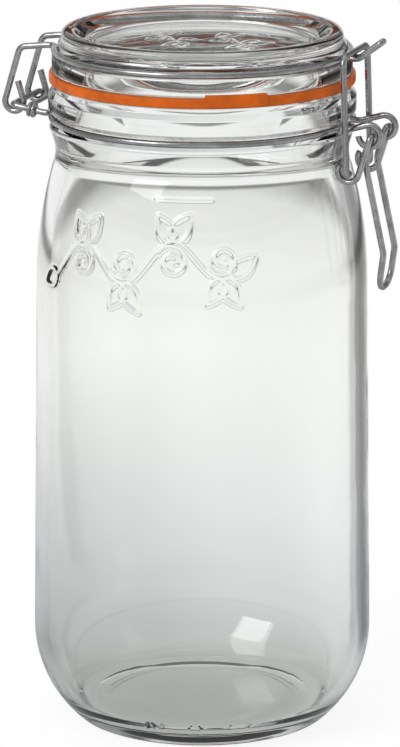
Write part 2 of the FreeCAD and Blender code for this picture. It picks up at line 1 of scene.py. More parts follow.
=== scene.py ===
"""Dresses the clip-top preserving jar: clear glass body and lid, rubber seal, zinc wire.

All lengths are metres in the jar's own frame: +Z up, the jar's axis on Z, its clip
on the +X side, its hinge on the -X side and its raised sprig on the -Y side.
"""

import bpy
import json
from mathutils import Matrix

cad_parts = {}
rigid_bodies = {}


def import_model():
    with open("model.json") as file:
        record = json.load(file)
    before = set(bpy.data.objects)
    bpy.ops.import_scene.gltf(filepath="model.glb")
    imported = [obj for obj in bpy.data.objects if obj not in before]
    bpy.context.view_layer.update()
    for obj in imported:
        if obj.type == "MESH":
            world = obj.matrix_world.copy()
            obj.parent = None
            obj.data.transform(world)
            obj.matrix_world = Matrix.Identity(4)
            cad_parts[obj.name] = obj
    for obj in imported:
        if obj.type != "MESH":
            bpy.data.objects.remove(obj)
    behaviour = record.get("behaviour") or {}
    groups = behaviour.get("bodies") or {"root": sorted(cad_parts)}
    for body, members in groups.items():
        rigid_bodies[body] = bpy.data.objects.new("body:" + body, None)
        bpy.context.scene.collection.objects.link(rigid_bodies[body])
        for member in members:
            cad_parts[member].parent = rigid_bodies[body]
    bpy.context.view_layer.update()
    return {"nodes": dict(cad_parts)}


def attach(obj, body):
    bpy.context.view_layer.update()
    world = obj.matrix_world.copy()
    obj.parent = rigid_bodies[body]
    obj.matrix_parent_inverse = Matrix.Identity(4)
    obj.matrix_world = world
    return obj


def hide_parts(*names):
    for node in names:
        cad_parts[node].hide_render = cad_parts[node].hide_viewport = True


bl_info = {
    "name": "Clip-top preserving jar",
    "version": (1, 0, 0),
    "blender": (4, 5, 0),
    "location": "3D View > Sidebar > Jar",
    "description": "Shapes and finishes a clip-top glass preserving jar",
    "category": "Object",
}

import json
import math

import bpy
from bpy.props import FloatProperty, FloatVectorProperty, PointerProperty
from mathutils import Vector

for left_over in list(bpy.data.objects):
    bpy.data.objects.remove(left_over)
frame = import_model()
MM = 0.001


# ------------------------------------------------------------------ what can be set


class GlassSettings(bpy.types.PropertyGroup):
    """The two glass pieces."""

    glass_tint: FloatVectorProperty(
        name="Glass Tint", description="Colour that the glass gives to what shows through it",
        subtype="COLOR", size=3, min=0, max=1, default=(0.974, 0.984, 0.972))
    ior: FloatProperty(
        name="Refraction", description="Index of refraction of the glass", default=1.5)
    wall: FloatProperty(
        name="Wall", description="Glass thickness of the jar's wall",
        subtype="DISTANCE", unit="LENGTH", default=0.004)
    relief_height: FloatProperty(
        name="Relief Height", description="How far the sprig and the fill line stand out",
        subtype="DISTANCE", unit="LENGTH", default=0.00055)
    relief_width: FloatProperty(
        name="Relief Width", description="Width of one raised line at its foot",
        subtype="DISTANCE", unit="LENGTH", default=0.0024)
    relief_facing: FloatProperty(
        name="Relief Facing", description="Where the middle of the sprig lies round the jar",
        subtype="ANGLE", default=math.radians(-90))
    relief_spread: FloatProperty(
        name="Relief Spread", description="Arc of the finely divided wall behind the sprig",
        subtype="ANGLE", default=math.radians(100))


class TrimSettings(bpy.types.PropertyGroup):
    """The seal and the wire."""

    rubber: FloatVectorProperty(
        name="Rubber", description="Colour of the seal",
        subtype="COLOR", size=3, min=0, max=1, default=(0.8, 0.15, 0.005))
    zinc: FloatVectorProperty(
        name="Zinc", description="Colour of the plated wire",
        subtype="COLOR", size=3, min=0, max=1, default=(0.43, 0.433, 0.44))
    wire_roughness: FloatProperty(
        name="Wire Roughness", description="Roughness of the clean plate", default=0.16)


class StageSettings(bpy.types.PropertyGroup):
    """Floor, light and camera."""

    camera_turn: FloatProperty(
        name="Camera Turn", description="Camera's turn from the front towards the clip",
        subtype="ANGLE", default=math.radians(19))
    camera_reach: FloatProperty(
        name="Camera Reach", description="Level distance from the jar's axis to the camera",
        subtype="DISTANCE", unit="LENGTH", default=1.523)
    camera_height: FloatProperty(
        name="Camera Height", description="Height of the camera",
        subtype="DISTANCE", unit="LENGTH", default=0.504)
    camera_pitch: FloatProperty(
        name="Camera Pitch", description="How far the camera looks down",
        subtype="ANGLE", default=math.radians(14.313))
    camera_yaw: FloatProperty(
        name="Camera Yaw", description="How far the camera looks left of the axis",
        subtype="ANGLE", default=math.radians(0.0276))
    lens: FloatProperty(
        name="Lens", description="Focal length in millimetres", default=230.0)
    floor_radius: FloatProperty(
        name="Floor Radius", description="Radius of the round floor",
        subtype="DISTANCE", unit="LENGTH", default=4.0)
    key_power: FloatProperty(
        name="Key Power", description="Power of the soft lamp in watts", default=9.0)
    surround: FloatProperty(
        name="Surround", description="Level of the light that comes from all round", default=0.62)


# -------------------------------------------------------------------- shared tools


def deselect():
    """Leaves object mode with nothing selected."""
    if bpy.context.object and bpy.context.object.mode != "OBJECT":
        bpy.ops.object.mode_set(mode="OBJECT")
    bpy.ops.object.select_all(action="DESELECT")


def eased(corners, steps=5):
    """Rounds each (radius, height, rounding) corner of an outline with an arc."""
    points = []
    for index, (radius, height, rounding) in enumerate(corners):
        here = Vector((radius, height))
        if not rounding:
            points.append(here)
            continue
        back = (Vector(corners[index - 1][:2]) - here).normalized()
        ahead = (Vector(corners[(index + 1) % len(corners)][:2]) - here).normalized()
        half = back.angle(ahead) / 2
        centre = here + (back + ahead).normalized() * (rounding / math.sin(half))
        first = here + back * (rounding / math.tan(half)) - centre
        last = here + ahead * (rounding / math.tan(half)) - centre
        turn = first.angle_signed(last)
        for step in range(steps + 1):
            angle = -turn * step / steps
            points.append(centre + Vector((
                first.x * math.cos(angle) - first.y * math.sin(angle),
                first.x * math.sin(angle) + first.y * math.cos(angle))))
    return [(point.x, point.y) for point in points]


def curved(start, end, radius, steps):
    """Places on the arc from start to end, both left out; a positive radius turns left."""
    start, end = Vector(start), Vector(end)
    chord = end - start
    left = Vector((-chord.y, chord.x)).normalized()
    rise = math.sqrt(radius * radius - chord.length_squared / 4)
    centre = (start + end) / 2 + left * math.copysign(rise, radius)
    first = math.atan2(start.y - centre.y, start.x - centre.x)
    last = math.atan2(end.y - centre.y, end.x - centre.x)
    turn = (last - first + math.pi) % (2 * math.pi) - math.pi
    return [(centre.x + abs(radius) * math.cos(first + turn * step / steps),
             centre.y + abs(radius) * math.sin(first + turn * step / steps))
            for step in range(1, steps)]


def divided(points, longest):
    """The outline with every straight run cut into pieces no longer than the given one."""
    result = [points[0]]
    for here, there in zip(points, points[1:]):
        count = max(1, math.ceil(math.dist(here, there) / longest))
        result += [(here[0] + (there[0] - here[0]) * step / count,
                    here[1] + (there[1] - here[1]) * step / count)
                   for step in range(1, count + 1)]
    return result


def turned_piece(name, outline, start, sectors):
    """Draws an outline in millimetres and spins it clockwise round the jar's axis."""
    deselect()
    bpy.ops.mesh.primitive_plane_add(size=MM)
    piece = bpy.context.object
    piece.name = name
    places = [Vector((radius * math.cos(start), radius * math.sin(start), height)) * MM
              for radius, height in outline]
    bpy.ops.object.mode_set(mode="EDIT")
    bpy.ops.mesh.merge(type="CENTER")
    bpy.ops.transform.translate(value=places[0])
    for here, there in zip(places, places[1:]):
        bpy.ops.mesh.extrude_region_move(TRANSFORM_OT_translate={"value": there - here})
    bpy.ops.mesh.select_all(action="SELECT")
    for arc, steps in sectors:
        bpy.ops.mesh.spin(steps=steps, angle=arc, center=(0, 0, 0), axis=(0, 0, 1))
    bpy.ops.mesh.select_all(action="SELECT")
    bpy.ops.mesh.remove_doubles(threshold=1e-6)
    bpy.ops.mesh.dissolve_degenerate(threshold=1e-7)
    bpy.ops.mesh.normals_make_consistent(inside=False)
    bpy.ops.object.mode_set(mode="OBJECT")
    bpy.ops.object.transform_apply(location=True, rotation=True, scale=True)
    bpy.ops.object.shade_smooth_by_angle(angle=math.radians(35))
    return piece


def guide_lines(name, strokes):
    """A wire drawing of strokes that lie on the glass, for the relief to follow."""
    mesh = bpy.data.meshes.new(name)
    places, edges = [], []
    for stroke in strokes:
        first = len(places)
        places += stroke
        edges += [(first + step, first + step + 1) for step in range(len(stroke) - 1)]
    mesh.from_pydata(places, edges, [])
    guide = bpy.data.objects.new(name, mesh)
    bpy.context.collection.objects.link(guide)
    return guide


RIB_CREST = 0.1  # a rib keeps its full height this share of its width to each side


def raise_relief(piece, strokes, width, height):
    """Raises the piece's surface into rounded ribs of this width and height."""
    guide = guide_lines(piece.name + "_guide", strokes)
    deselect()
    piece.select_set(True)
    bpy.context.view_layer.objects.active = piece
    piece.vertex_groups.new(name="relief")
    bpy.ops.object.mode_set(mode="EDIT")
    bpy.ops.mesh.select_all(action="SELECT")
    bpy.ops.object.vertex_group_assign()
    bpy.ops.object.mode_set(mode="OBJECT")
    near = piece.modifiers.new("near_the_strokes", "VERTEX_WEIGHT_PROXIMITY")
    near.vertex_group = "relief"
    near.target = guide
    near.proximity_mode = "GEOMETRY"
    near.proximity_geometry = {"EDGE"}
    near.falloff_type = "SMOOTH"
    near.min_dist = width / 2
    near.max_dist = width * RIB_CREST
    bpy.ops.object.modifier_apply(modifier=near.name)
    rise = piece.modifiers.new("relief", "DISPLACE")
    rise.vertex_group = "relief"
    rise.direction = "NORMAL"
    rise.mid_level = 0
    rise.strength = height
    bpy.ops.object.modifier_apply(modifier=rise.name)
    piece.vertex_groups.clear()
    bpy.data.objects.remove(guide)


# ---------------------------------------------------------------------- materials


def calculated(nodes, links, operation, *values):
    """What a Math node makes of values that are numbers or other nodes' outputs."""
    step = nodes.new("ShaderNodeMath")
    step.operation = operation
    for socket, value in zip(step.inputs, values):
        if isinstance(value, (int, float)):
            socket.default_value = value
        else:
            links.new(value, socket)
    return step.outputs[0]


def ranged(nodes, links, value, low, high):
    """A Map Range node that turns the value's run from low to high into 0 to 1."""
    spread = nodes.new("ShaderNodeMapRange")
    spread.inputs["From Min"].default_value = low
    spread.inputs["From Max"].default_value = high
    links.new(value, spread.inputs["Value"])
    return spread


def surface_marks():
    """Node group of fine marks: slow waves, fine grain and scattered smudges."""
    group = bpy.data.node_groups.get("surface_marks")
    if group:
        return group
    group = bpy.data.node_groups.new("surface_marks", "ShaderNodeTree")
    for name, default in (("Wave Scale", 40), ("Grain Scale", 900), ("Smudge Scale", 60),
                          ("Clean", 0.1), ("Worn", 0.3)):
        socket = group.interface.new_socket(name=name, in_out="INPUT",
                                            socket_type="NodeSocketFloat")
        socket.default_value = default
    for name in ("Waves", "Grain", "Smudges", "Roughness"):
        group.interface.new_socket(name=name, in_out="OUTPUT", socket_type="NodeSocketFloat")
    nodes, links = group.nodes, group.links
    inside = nodes.new("NodeGroupInput")
    outside = nodes.new("NodeGroupOutput")
    place = nodes.new("ShaderNodeTexCoord")
    noises = {}
    for name, detail in (("Wave Scale", 1), ("Grain Scale", 3), ("Smudge Scale", 4)):
        noise = nodes.new("ShaderNodeTexNoise")
        noise.inputs["Detail"].default_value = detail
        links.new(place.outputs["Object"], noise.inputs["Vector"])
        links.new(inside.outputs[name], noise.inputs["Scale"])
        noises[name] = noise.outputs["Fac"]
    spread = ranged(nodes, links, noises["Smudge Scale"], 0.42, 0.68)
    rough = nodes.new("ShaderNodeMapRange")
    links.new(spread.outputs["Result"], rough.inputs["Value"])
    links.new(inside.outputs["Clean"], rough.inputs["To Min"])
    links.new(inside.outputs["Worn"], rough.inputs["To Max"])
    links.new(noises["Wave Scale"], outside.inputs["Waves"])
    links.new(noises["Grain Scale"], outside.inputs["Grain"])
    links.new(spread.outputs["Result"], outside.inputs["Smudges"])
    links.new(rough.outputs["Result"], outside.inputs["Roughness"])
    return group


def marked_material(name, values):
    """A material whose Principled shader takes its roughness from the surface marks."""
    material = bpy.data.materials.new(name)
    material.use_nodes = True
    nodes, links = material.node_tree.nodes, material.node_tree.links
    shader = nodes["Principled BSDF"]
    marks = nodes.new("ShaderNodeGroup")
    marks.node_tree = surface_marks()
    for socket, value in values.items():
        marks.inputs[socket].default_value = value
    links.new(marks.outputs["Roughness"], shader.inputs["Roughness"])
    return material, nodes, links, shader, marks


def bumped(nodes, links, shader, height, distance):
    """Feeds the shader's normal with a bump as deep as the distance, in metres."""
    bump = nodes.new("ShaderNodeBump")
    bump.inputs["Distance"].default_value = distance
    bump.inputs["Strength"].default_value = 1
    links.new(height, bump.inputs["Height"])
    links.new(bump.outputs["Normal"], shader.inputs["Normal"])


def worn_colour(nodes, links, shader, marks, colour, share):
    """Colours the shader, and darkens it to a share of the colour at the smudges."""
    tone = nodes.new("ShaderNodeMix")
    tone.data_type = "RGBA"
    tone.inputs["A"].default_value = (*colour, 1)
    tone.inputs["B"].default_value = (*[share * value for value in colour], 1)
    links.new(marks.outputs["Smudges"], tone.inputs["Factor"])
    links.new(tone.outputs["Result"], shader.inputs["Base Color"])


def clear_glass(name, settings, wave_depth):
    """Clear soda glass with a slow waviness from the mould and faint handling marks."""
    material, nodes, links, shader, marks = marked_material(name, {
        "Wave Scale": 46, "Grain Scale": 700, "Smudge Scale": 34, "Clean": 0.0, "Worn": 0.025})
    shader.inputs["Base Color"].default_value = (*settings.glass_tint, 1)
    shader.inputs["Transmission Weight"].default_value = 1
    shader.inputs["IOR"].default_value = settings.ior
    bumped(nodes, links, shader, marks.outputs["Waves"], wave_depth)
    return material


def seal_rubber(settings):
    """Satin rubber with a fine moulded grain and slightly uneven colour."""
    material, nodes, links, shader, marks = marked_material("seal_rubber", {
        "Wave Scale": 120, "Grain Scale": 2600, "Smudge Scale": 150, "Clean": 0.38, "Worn": 0.55})
    worn_colour(nodes, links, shader, marks, settings.rubber, 0.72)
    shader.inputs["Specular IOR Level"].default_value = 0.25
    shader.inputs["Subsurface Weight"].default_value = 0.15
    shader.inputs["Subsurface Radius"].default_value = (0.004, 0.0014, 0.0005)
    shader.inputs["Subsurface Scale"].default_value = 0.5
    bumped(nodes, links, shader, marks.outputs["Grain"], distance=0.00004)
    return material


def zinc_wire(settings):
    """Bright zinc plate over drawn steel wire, dull where it has been handled."""
    material, nodes, links, shader, marks = marked_material("zinc_wire", {
        "Wave Scale": 300, "Grain Scale": 1500, "Smudge Scale": 260,
        "Clean": settings.wire_roughness, "Worn": settings.wire_roughness + 0.2})
    worn_colour(nodes, links, shader, marks, settings.zinc, 0.74)
    shader.inputs["Metallic"].default_value = 1
    bumped(nodes, links, shader, marks.outputs["Grain"], distance=0.00002)
    return material


# colour casts of the studio's tones
GREEN = (0.965, 1.01, 0.98)
COOL, PLAIN, WARM = (0.975, 1, 1.015), (1, 1, 1), (1, 0.995, 0.97)
# (degrees to the right of straight away from the lens, tone)
SIDE_TONES = (
    (-180, 0.85), (-120, 0.8), (-85, 0.5), (-55, 0.88), (-25, 0.95), (-10, 1), (14, 1),
    (18, 0.3), (40, 0.3), (50, 0.85), (100, 0.9), (140, 0.5), (180, 0.85))


def set_tones(ramp, stops):
    """Gives a colour ramp its (position, tone) stops, each with a colour cast if it has one."""
    first, last = ramp.elements
    first.position, last.position = stops[0][0], stops[-1][0]
    for position, *_ in stops[1:-1]:
        ramp.elements.new(position)
    for element, (_, tone, *cast) in zip(ramp.elements, stops):
        element.color = (*[tone * share for share in (cast or [PLAIN])[0]], 1)


def studio_sides():
    """Node group: how light the studio is in a level direction, with a dark card on the
    far right side."""
    group = bpy.data.node_groups.get("studio_sides")
    if group:
        return group
    group = bpy.data.node_groups.new("studio_sides", "ShaderNodeTree")
    group.interface.new_socket(name="Vector", in_out="INPUT", socket_type="NodeSocketVector")
    group.interface.new_socket(name="Ahead", in_out="INPUT", socket_type="NodeSocketFloat")
    group.interface.new_socket(name="Tone", in_out="OUTPUT", socket_type="NodeSocketFloat")
    nodes, links = group.nodes, group.links
    inside = nodes.new("NodeGroupInput")
    outside = nodes.new("NodeGroupOutput")
    split = nodes.new("ShaderNodeSeparateXYZ")
    links.new(inside.outputs["Vector"], split.inputs["Vector"])
    heading = calculated(
        nodes, links, "ARCTAN2", split.outputs["Y"], split.outputs["X"])
    aside = calculated(nodes, links, "SUBTRACT", inside.outputs["Ahead"], heading)
    aside = calculated(nodes, links, "WRAP", aside, math.pi, -math.pi)
    share = calculated(nodes, links, "MULTIPLY_ADD", aside, 0.5 / math.pi, 0.5)
    ramp = nodes.new("ShaderNodeValToRGB")
    set_tones(ramp.color_ramp, [(degrees / 360 + 0.5, tone) for degrees, tone in SIDE_TONES])
    links.new(share, ramp.inputs["Fac"])
    links.new(ramp.outputs["Color"], outside.inputs["Tone"])
    return group


# ---------------------------------------------------------------------- the stage


# what glass and metal see of the floor: a painted shadow of the jar, grey near its axis and
# lighter further out, with a dark band far out: (metres from the jar's axis, tone, cast)
PAINTED_FLOOR_SHADE = (
    (0, 0.33, GREEN), (0.03, 0.37, GREEN), (0.05, 0.47, GREEN), (0.1, 0.6, COOL),
    (0.16, 0.7, COOL), (0.22, 0.77, COOL), (0.34, 0.87, PLAIN), (0.5, 1, PLAIN),
    (0.62, 0.97, WARM), (0.8, 0.9, WARM), (0.95, 0.84, WARM), (1.15, 0.25, WARM),
    (1.33, 0.25, WARM), (1.6, 0.97, PLAIN), (2, 0.97, PLAIN))
FLOOR_REACH = 2
# what they see of the room: (upward part of the direction, tone, cast if any);
# bright at the floor's edge, a thin dark band above it, duller, then a bright ceiling
ROOM_TONES = (
    (0, 0.95), (0.12, 0.88), (0.158, 0.8), (0.167, 0.06, WARM), (0.197, 0.06, WARM),
    (0.208, 0.7, WARM), (0.4, 0.45), (0.6, 0.42), (0.8, 0.9), (1, 1))
# the floor's white to the lens, and the share of light that takes the jar's shadow
FLOOR_WHITE, FLOOR_SHADED = 0.86, 0.2
FLOOR_PALE = 0.8  # its colour to all but the lens, glass and metal
SIDES_SHIFT = 0.052  # the side tones turn about a point this far towards the clip
SIDES_FROM, SIDES_TO = 0.06, 0.12  # the side tones set in between these distances
# a painted slant of light across the floor's glow: its reach, its painted shade and its painted
# light
SLANT_REACH, SLANT_PAINTED_SHADE, SLANT_PAINTED_LIGHT = 0.07, 0.9, 1.18
SLANT_FROM, SLANT_TO = 0.25, 0.5  # the slant dies away between these distances


def placed_sides(nodes, links, settings, vector):
    """The studio's side tones in the direction of the vector."""
    sides = nodes.new("ShaderNodeGroup")
    sides.node_tree = studio_sides()
    sides.inputs["Ahead"].default_value = settings.camera_turn + math.pi / 2
    links.new(vector, sides.inputs["Vector"])
    return sides.outputs["Tone"]


def toned(nodes, links, position, stops):
    """A ramp of (position, tone) stops, read at the position."""
    ramp = nodes.new("ShaderNodeValToRGB")
    set_tones(ramp.color_ramp, stops)
    links.new(position, ramp.inputs["Fac"])
    return ramp.outputs["Color"]


def seen_by(nodes, links, lens, glass, others):
    """Joins what the lens sees, what glass and metal see, and what all else sees."""
    rays = nodes.new("ShaderNodeLightPath")
    through = calculated(nodes, links, "MAXIMUM", rays.outputs["Is Transmission Ray"],
                         rays.outputs["Is Glossy Ray"])
    seen = others.outputs[0]
    for share, shader in ((through, glass), (rays.outputs["Is Camera Ray"], lens)):
        switch = nodes.new("ShaderNodeMixShader")
        links.new(share, switch.inputs["Fac"])
        links.new(seen, switch.inputs[1])
        links.new(shader.outputs[0], switch.inputs[2])
        seen = switch.outputs[0]
    return seen


def painted_floor_light(nodes, links, settings, place):
    """How strongly the floor glows to glass and metal: painted shade by its sides, and a painted
    slant of light.
    """
    right = (math.cos(settings.camera_turn), math.sin(settings.camera_turn), 0)
    reach = nodes.new("ShaderNodeVectorMath")
    reach.operation = "LENGTH"
    links.new(place, reach.inputs[0])
    distance = reach.outputs["Value"]
    aside = nodes.new("ShaderNodeVectorMath")
    aside.operation = "SUBTRACT"
    aside.inputs[1].default_value = [SIDES_SHIFT * value for value in right]
    links.new(place, aside.inputs[0])
    # out from the jar the side tones darken the floor's glow as painted shade
    fade = ranged(nodes, links, distance, SIDES_FROM, SIDES_TO)
    fade.interpolation_type = "SMOOTHSTEP"
    strength = nodes.new("ShaderNodeMix")
    strength.inputs["A"].default_value = 1
    links.new(fade.outputs["Result"], strength.inputs["Factor"])
    links.new(placed_sides(nodes, links, settings, aside.outputs["Vector"]),
              strength.inputs["B"])
    # painted light: beside the jar the floor is lighter towards the clip than on the other side
    across = nodes.new("ShaderNodeVectorMath")
    across.operation = "DOT_PRODUCT"
    across.inputs[1].default_value = right
    links.new(place, across.inputs[0])
    slant = ranged(nodes, links, across.outputs["Value"], -SLANT_REACH, SLANT_REACH)
    slant.inputs["To Min"].default_value = SLANT_PAINTED_SHADE
    slant.inputs["To Max"].default_value = SLANT_PAINTED_LIGHT
    far = ranged(nodes, links, distance, SLANT_FROM, SLANT_TO)
    evened = nodes.new("ShaderNodeMix")
    evened.inputs["B"].default_value = 1
    links.new(far.outputs["Result"], evened.inputs["Factor"])
    links.new(slant.outputs["Result"], evened.inputs["A"])
    level = calculated(nodes, links, "MULTIPLY", strength.outputs["Result"],
                       evened.outputs["Result"])
    return distance, level


def floor_material(settings):
    """White floor that keeps a soft shadow; glass and metal see it glow, with a painted shadow
    near the jar.
    """
    material = bpy.data.materials.new("white_floor")
    material.use_nodes = True
    nodes, links = material.node_tree.nodes, material.node_tree.links
    nodes.remove(nodes["Principled BSDF"])
    place = nodes.new("ShaderNodeTexCoord")
    # what the lens sees: almost all plain white, and a little that takes the shadow
    white = nodes.new("ShaderNodeEmission")
    white.inputs["Strength"].default_value = FLOOR_WHITE
    shaded = nodes.new("ShaderNodeBsdfDiffuse")
    shaded.inputs["Color"].default_value = (*[FLOOR_SHADED] * 3, 1)
    lens = nodes.new("ShaderNodeAddShader")
    links.new(white.outputs[0], lens.inputs[0])
    links.new(shaded.outputs[0], lens.inputs[1])
    # what glass and metal see: a glow with a painted shadow, grey beside the jar, white further
    # out
    distance, level = painted_floor_light(nodes, links, settings, place.outputs["Object"])
    position = calculated(nodes, links, "DIVIDE", distance, FLOOR_REACH)
    painted_glow = nodes.new("ShaderNodeEmission")
    links.new(toned(nodes, links, position, [
        (metres / FLOOR_REACH, tone, cast) for metres, tone, cast in PAINTED_FLOOR_SHADE]),
        painted_glow.inputs["Color"])
    links.new(level, painted_glow.inputs["Strength"])
    pale = nodes.new("ShaderNodeBsdfDiffuse")
    pale.inputs["Color"].default_value = (*[FLOOR_PALE] * 3, 1)
    links.new(seen_by(nodes, links, lens, painted_glow, pale),
              nodes["Material Output"].inputs["Surface"])
    return material


def studio_world(settings):
    """White to the lens, cards and dark gaps to glass and metal, plain light to all else."""
    world = bpy.data.worlds.new("studio")
    bpy.context.scene.world = world
    world.use_nodes = True
    nodes, links = world.node_tree.nodes, world.node_tree.links
    plain = nodes["Background"]
    plain.inputs["Color"].default_value = (1, 1, 1, 1)
    plain.inputs["Strength"].default_value = settings.surround
    place = nodes.new("ShaderNodeTexCoord")
    rise = nodes.new("ShaderNodeSeparateXYZ")
    links.new(place.outputs["Generated"], rise.inputs["Vector"])
    cards = nodes.new("ShaderNodeBackground")
    links.new(toned(nodes, links, rise.outputs["Z"], ROOM_TONES), cards.inputs["Color"])
    links.new(placed_sides(nodes, links, settings, place.outputs["Generated"]),
              cards.inputs["Strength"])
    white = nodes.new("ShaderNodeBackground")
    white.inputs["Color"].default_value = (1, 1, 1, 1)
    white.inputs["Strength"].default_value = 1
    links.new(seen_by(nodes, links, white, cards, plain),
              nodes["World Output"].inputs["Surface"])


def soft_lamp(name, place, aim, size, power):
    """A soft lamp of the given width and height at a place, turned to face another."""
    deselect()
    bpy.ops.object.light_add(type="AREA", location=place)
    lamp = bpy.context.object
    lamp.name = name
    lamp.data.shape = "RECTANGLE"
    lamp.data.size, lamp.data.size_y = size
    lamp.data.energy = power
    lamp.rotation_euler = (Vector(aim) - Vector(place)).to_track_quat("-Z", "Y").to_euler()


class PRESERVING_JAR_OT_stage(bpy.types.Operator):
    """Makes the floor, the light and the camera"""

    bl_idname = "preserving_jar.stage"
    bl_label = "Stage"
    bl_options = {"REGISTER", "UNDO"}

    def execute(self, context):
        settings = context.scene.jar_stage
        deselect()
        bpy.ops.mesh.primitive_circle_add(
            vertices=96, radius=settings.floor_radius, fill_type="NGON")
        floor = context.object
        floor.name = "floor"
        floor.data.materials.append(floor_material(settings))
        studio_world(settings)
        context.scene.view_settings.view_transform = "Standard"
        soft_lamp("key_lamp", place=(-0.66, -1.2, 1.1), aim=(0, 0, 0.12),
                  size=(0.78, 0.82), power=settings.key_power)
        turn, reach = settings.camera_turn, settings.camera_reach
        bpy.ops.object.camera_add(
            location=(reach * math.sin(turn), -reach * math.cos(turn), settings.camera_height),
            rotation=(math.pi / 2 - settings.camera_pitch, 0, turn + settings.camera_yaw))
        camera = context.object
        camera.name = "camera"
        camera.data.lens = settings.lens
        camera.data.clip_start = 0.01
        context.scene.camera = camera
        return {"FINISHED"}


# ---------------------------------------------------------------------- the glass

# the jar's outline, as (radius, height) in millimetres
WALL_FOOT, WALL_TOP, NECK_FOOT = (55.8, 31.137), (54.3, 147), (48.49, 187)
MOUTH_RADIUS, MOUTH_HEIGHT = 44.9, 213.44  # middle of the mouth's flat rim
BORE_RADIUS, BORE_FOOT = 41.5, 192.5
HEEL_ARC = 40.2
FLOOR_HEIGHT = 6.6  # top of the glass floor
# how finely the outline is divided, in millimetres, and the turn, in steps
LONGEST_EDGE, WALL_EDGE, FLAT_EDGE = 8, 7, 6
FINE_FROM, FINE_TO, FINE_ROW = 145, 187, 0.4  # heights of the sprig and the fill line
TICKS_FROM, TICKS_TO, TICKS_ROW = 5, 12, 0.5  # heights of the mould's ticks
FINE_TURN, PLAIN_TURN, LID_TURN = 224, 92, 192
# places and sizes of the relief, in millimetres
SPRIG_RADIUS = 56  # where strokes keep their width on the wall
SPRIG_LEFT, SPRIG_RIGHT, SPRIG_MIDDLE = -39, 28, 164
FILL_LINE_LEFT, FILL_LINE_RIGHT, FILL_LINE_HEIGHT = 2, 22, 184.5
TICK_FOOT, TICK_STEP = 7.4, 0.6
MOULD_TICKS = ((-3, 1.2), (1, -1.2), (3.5, 0), (14, 0.6), (18, -0.6), (29, 0), (36, 1))
# shares of the sprig's width and height that other relief has
MARK_WIDTH, MARK_HEIGHT = 0.7, 0.6
LID_RELIEF_WIDTH, LID_RELIEF_HEIGHT = 0.65, 0.3
# the lid: its panel's height, and how much of the sprig's size is left on it
PANEL_HEIGHT, PANEL_ACROSS, PANEL_UP = 226.74, 0.62, 0.9
LID_EDGE, PANEL_EDGE = 3, 0.6


def jar_outer():
    """The jar's outer outline in millimetres, from the middle of the base to the mouth."""
    foot_end = (42.59, 1.346)
    foot = [(0, 1.6), (31.1, 1.6), (36.1, 0), (39.1, 0)]
    foot += curved(foot[-1], foot_end, 5.2, 4) + [foot_end]
    foot += curved(foot_end, WALL_FOOT, HEEL_ARC, 14) + [WALL_FOOT]
    shoulder = [WALL_TOP] + curved(WALL_TOP, NECK_FOOT, 140.57, 120)
    neck = eased([
        (*NECK_FOOT, 0), (47.24, 191.2, 12), (49.9, 199.6, 1.2), (47.8, 200.9, 0.3),
        (47.8, 203.24, 0.3), (50.1, 204.64, 0.8), (50.1, 209.74, 0.8),
        (48.3, 211.54, 0.6), (48.3, MOUTH_HEIGHT, 0.8), (MOUTH_RADIUS, MOUTH_HEIGHT, 0)])
    return foot, shoulder, neck


def jar_inner(wall):
    """The jar's inner outline in millimetres, from the mouth down to the middle of the floor."""
    wall_top = (WALL_TOP[0] - wall, WALL_TOP[1])
    inside = curved((BORE_RADIUS, BORE_FOOT), wall_top, -130.8, 28)
    throat = eased([
        (MOUTH_RADIUS, MOUTH_HEIGHT, 0), (BORE_RADIUS, MOUTH_HEIGHT, 0.8),
        (BORE_RADIUS, BORE_FOOT, 3), (*inside[0], 0)])[1:-1]
    inside += [wall_top, (WALL_FOOT[0] - wall, WALL_FOOT[1])]
    heel_end, floor_edge = (45.313, 10.459), (37.926, FLOOR_HEIGHT)
    heel = curved(inside[-1], heel_end, wall - HEEL_ARC, 10) + [heel_end]
    heel += curved(heel_end, floor_edge, -9, 6) + [floor_edge, (0, FLOOR_HEIGHT)]
    return throat + inside + heel


def wall_radius(height):
    """The jar's outside radius at a height on its heel, wall or shoulder, in millimetres."""
    foot, shoulder, neck = jar_outer()
    outline = foot + shoulder + neck[:1]
    for (first, low), (last, high) in zip(outline, outline[1:]):
        if low < height <= high:
            return first + (last - first) * (height - low) / (high - low)
    raise ValueError(height)


def wall_rows(low, high, step):
    """Places on the jar's outside from one height to another, a step apart."""
    heights = [low + step * count for count in range(int((high - low) / step) + 1)]
    return [(wall_radius(height), height) for height in heights]


def leaf(foot, degrees, length, width):
    """Both edges of a pointed leaf, widest nearer its foot, as (across, up) strokes."""
    along = Vector((math.cos(math.radians(degrees)), math.sin(math.radians(degrees))))
    aside = Vector((-along.y, along.x))
    steps = 16
    return [[foot + along * length * step / steps
             + aside * side * width / 2 * math.sin(math.pi * (step / steps) ** 0.75) ** 0.85
             for step in range(steps + 1)] for side in (1, -1)]


def sprig():
    """The raised sprig: a waving vine with a tendril and two leaves at each bend."""
    wave, sway, climb = 5.4, 6.5, 0.08

    def vine_at(across):
        return Vector((
            across, SPRIG_MIDDLE + sway * math.sin(across / wave) + across * climb))

    strokes = [[vine_at(step / 2) for step in range(2 * SPRIG_LEFT, 2 * SPRIG_RIGHT + 1)]]
    for bend in range(-2, 2):
        across = wave * math.pi * (bend + 0.5)
        side = 1 if bend % 2 == 0 else -1
        top = vine_at(across)
        # the tendril winds inwards from the bend
        centre = top - Vector((0, side * 6.2))
        turns = [(math.radians(150 - 20 * step), 5.2 - 0.14 * step) for step in range(27)]
        strokes.append([centre + Vector((math.cos(turn) * radius, side * math.sin(turn) * radius))
                        for turn, radius in turns])
        strokes += leaf(top, side * 122, 9.5, 5.6) + leaf(top, side * 56, 10.5, 6)
    strokes += leaf(vine_at(SPRIG_LEFT), 205, 9, 5.6)
    return strokes + leaf(vine_at(SPRIG_RIGHT), 35, 11, 6)


